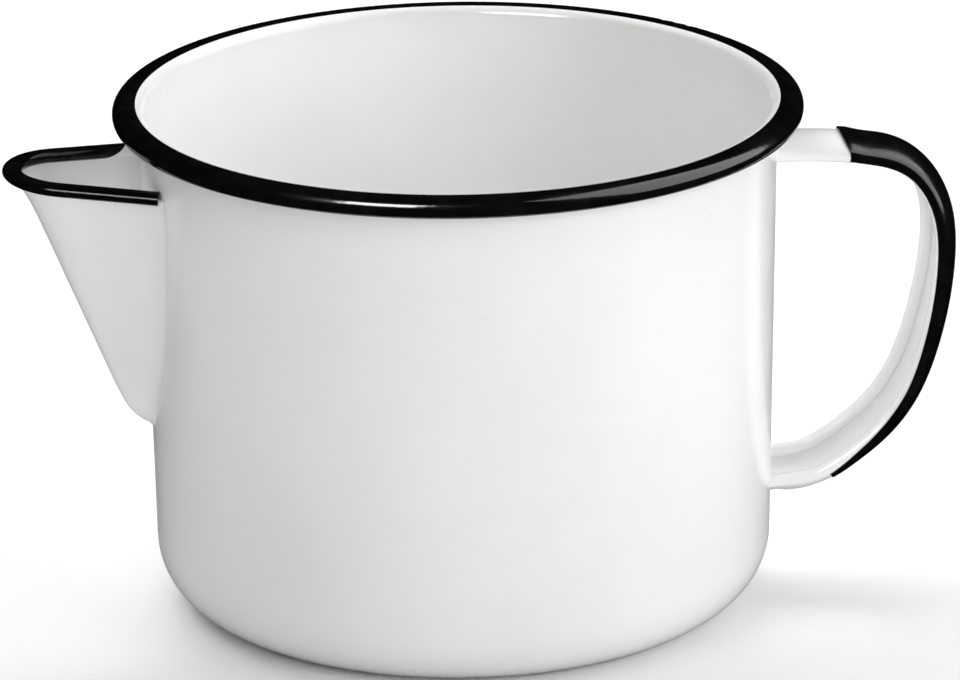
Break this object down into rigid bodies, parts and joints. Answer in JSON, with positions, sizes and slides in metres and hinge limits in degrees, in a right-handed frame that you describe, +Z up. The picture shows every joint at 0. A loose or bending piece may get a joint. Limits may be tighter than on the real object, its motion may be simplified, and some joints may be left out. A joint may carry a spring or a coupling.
{
  "type": "candle melting pot",
  "caption": "Enamelled steel melting and pouring pot with a rolled black rim, a welded V spout with a rolled lip, and a strap handle with a black band.",
  "frame": {"origin": "on the body's axis at the underside of the base, where the pot rests", "axes": "+Z up along the body's axis, spout towards -X, handle towards +X"},
  "size_m": [0.212, 0.152, 0.115],
  "materials": {
    "white_enamel": "gloss vitreous enamel on steel",
    "black_enamel": "gloss vitreous enamel on steel"
  },
  "bodies": {
    "root": {"pot_body": "white_enamel", "rim_bead": "black_enamel", "spout_shell": "white_enamel", "spout_lip": "black_enamel", "handle_strap": "white_enamel", "handle_trim": "black_enamel"}
  },
  "joints": []
}
